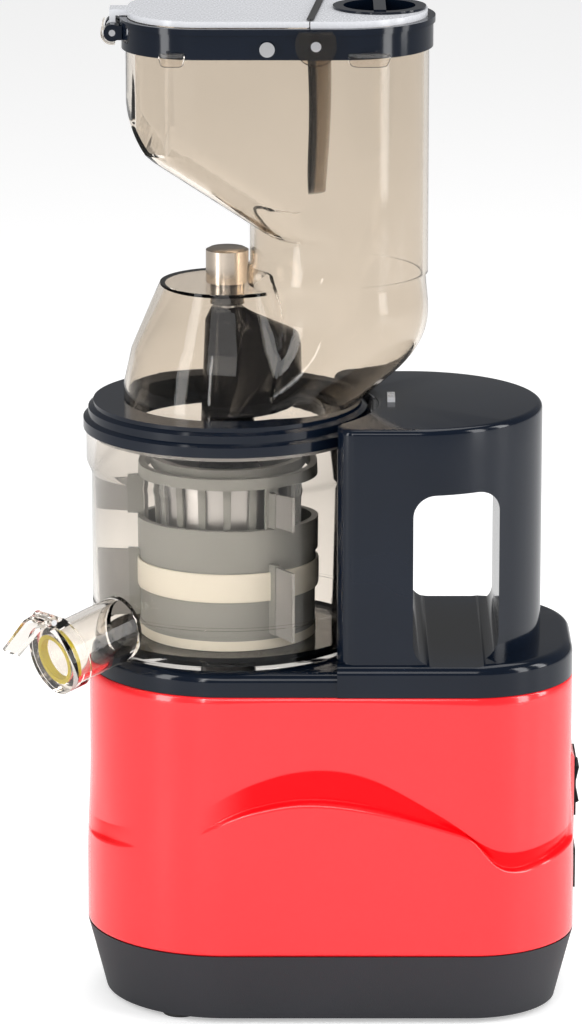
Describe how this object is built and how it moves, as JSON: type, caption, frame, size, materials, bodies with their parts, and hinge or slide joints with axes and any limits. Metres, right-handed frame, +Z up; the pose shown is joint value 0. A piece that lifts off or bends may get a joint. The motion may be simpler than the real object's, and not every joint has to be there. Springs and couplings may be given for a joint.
{
  "type": "cold press juicer",
  "caption": "Upright slow juicer: base with handle tower, clear bowl with spout and hinged cap, auger, strainer, smoke dome, wide chute and lidded tray.",
  "frame": {"origin": "middle of the outline's box on the standing surface", "axes": "+Z up, +X from the bowl towards the handle, the spout points to -X and -Y"},
  "size_m": [0.2852, 0.165, 0.503],
  "materials": {
    "smoke_plastic": "transparent smoke",
    "clear_plastic": "transparent",
    "gloss_black": "gloss",
    "gloss_red": "gloss",
    "matte_grey": "fine matte",
    "white_plastic": "satin",
    "cream_plastic": "satin",
    "grey_plastic": "satin",
    "dark_plastic": "satin",
    "silicone_yellow": "satin",
    "silicone_grey": "matte",
    "rubber": "matte",
    "steel": "brushed",
    "chrome": "polished",
    "champagne_metal": "satin metal",
    "aluminium": "cast"
  },
  "bodies": {
    "base": {"bottom_cover": "matte_grey", "red_housing": "gloss_red", "upper_housing": "gloss_black", "tower_cap": "gloss_black", "rubber_feet": "rubber", "bottom_screws": "steel", "control_board": "matte_grey", "run_capacitor": "aluminium", "switch_bezel": "dark_plastic", "power_inlet": "dark_plastic", "inlet_pins": "steel", "interlock_tab": "white_plastic", "interlock_switch": "dark_plastic", "motor_can": "steel", "motor_stator": "steel", "gearbox_housing": "aluminium", "gearbox_cover": "aluminium", "drive_bearing": "steel", "idler_axle": "steel"},
    "rocker": {"power_switch": "dark_plastic"},
    "motor": {"motor_rotor": "steel", "motor_pinion": "steel", "cooling_fan": "dark_plastic"},
    "reduction": {"reduction_gear": "steel"},
    "drive": {"output_gear": "steel", "drive_shaft": "steel"},
    "bowl": {"juicing_bowl": "clear_plastic", "juice_spout": "clear_plastic", "pulp_chute": "clear_plastic", "bowl_seal": "silicone_grey", "pulp_plug": "silicone_grey", "spout_seal": "silicone_yellow", "cap_pin": "steel", "strainer_frame": "grey_plastic", "strainer_mesh": "steel"},
    "cap": {"spout_cap": "clear_plastic"},
    "screw": {"auger": "dark_plastic", "auger_gear": "dark_plastic", "auger_pin": "steel"},
    "idler": {"idler_pinion": "cream_plastic"},
    "brush": {"brush_frame": "grey_plastic", "brush_band": "cream_plastic", "brush_ring_gear": "cream_plastic", "brush_wipers": "silicone_grey"},
    "hopper": {"hopper_body": "smoke_plastic", "lid_flange": "gloss_black", "boss_sleeve": "champagne_metal", "top_bush": "dark_plastic", "boss_cap": "smoke_plastic", "rim_collar": "gloss_black", "hinge_pin": "chrome", "chute_cover": "white_plastic", "guide_pin": "chrome", "lid_seal": "silicone_grey"},
    "lid": {"tray_lid": "white_plastic"},
    "gate": {"swing_gate": "smoke_plastic", "gate_shaft": "chrome", "gate_hub": "smoke_plastic"},
    "plug": {"feed_plug": "gloss_black"}
  },
  "joints": [
    {"name": "power_rocker", "type": "hinge", "parent": "base", "child": "rocker", "pos_m": [0.1367, 0.00456, 0.1085], "axis": [0, 1, 0], "range_deg": [-8, 8]},
    {"name": "motor_spin", "type": "hinge", "parent": "base", "child": "motor", "pos_m": [0.05325, 0.00456, 0.1], "axis": [0, 0, 1], "continuous": true},
    {"name": "reduction_spin", "type": "hinge", "parent": "base", "child": "reduction", "pos_m": [0.012, 0.00456, 0.15], "axis": [0, 0, 1], "continuous": true},
    {"name": "drive_spin", "type": "hinge", "parent": "base", "child": "drive", "pos_m": [-0.0335, 0.00456, 0.16], "axis": [0, 0, 1], "continuous": true},
    {"name": "bowl_lift", "type": "slide", "parent": "base", "child": "bowl", "axis": [0, 0, 1], "range_m": [0, 0.045]},
    {"name": "auger_spin", "type": "hinge", "parent": "bowl", "child": "screw", "pos_m": [-0.0335, 0.00456, 0.2], "axis": [0, 0, 1], "continuous": true},
    {"name": "idler_spin", "type": "hinge", "parent": "bowl", "child": "idler", "pos_m": [-0.0335, 0.03081, 0.19], "axis": [0, 0, 1], "continuous": true},
    {"name": "brush_spin", "type": "hinge", "parent": "bowl", "child": "brush", "pos_m": [-0.0335, 0.00456, 0.23], "axis": [0, 0, 1], "continuous": true},
    {"name": "spout_cap_hinge", "type": "hinge", "parent": "bowl", "child": "cap", "pos_m": [-0.12176, -0.06439, 0.21061], "axis": [-0.6157, 0.788, 0], "range_deg": [0, 80]},
    {"name": "hopper_turn", "type": "hinge", "parent": "bowl", "child": "hopper", "pos_m": [-0.0335, 0.00456, 0.3], "axis": [0, 0, 1], "range_deg": [0, 30]},
    {"name": "tray_lid_hinge", "type": "hinge", "parent": "hopper", "child": "lid", "pos_m": [-0.089, 0.00456, 0.491], "axis": [0, -1, 0], "range_deg": [0, 105]},
    {"name": "gate_swing", "type": "hinge", "parent": "hopper", "child": "gate", "pos_m": [0.0099, 0.00456, 0.4905], "axis": [0, -1, 0], "range_deg": [0, 26]},
    {"name": "feed_plug_lift", "type": "slide", "parent": "hopper", "child": "plug", "axis": [0, 0, 1], "range_m": [0, 0.03]}
  ],
  "couplings": [
    {"joint": "reduction_spin", "follows": "motor_spin", "ratio": -0.17857},
    {"joint": "drive_spin", "follows": "motor_spin", "ratio": 0.053571},
    {"joint": "auger_spin", "follows": "motor_spin", "ratio": 0.053571},
    {"joint": "idler_spin", "follows": "motor_spin", "ratio": -0.048701},
    {"joint": "brush_spin", "follows": "motor_spin", "ratio": -0.016741}
  ]
}
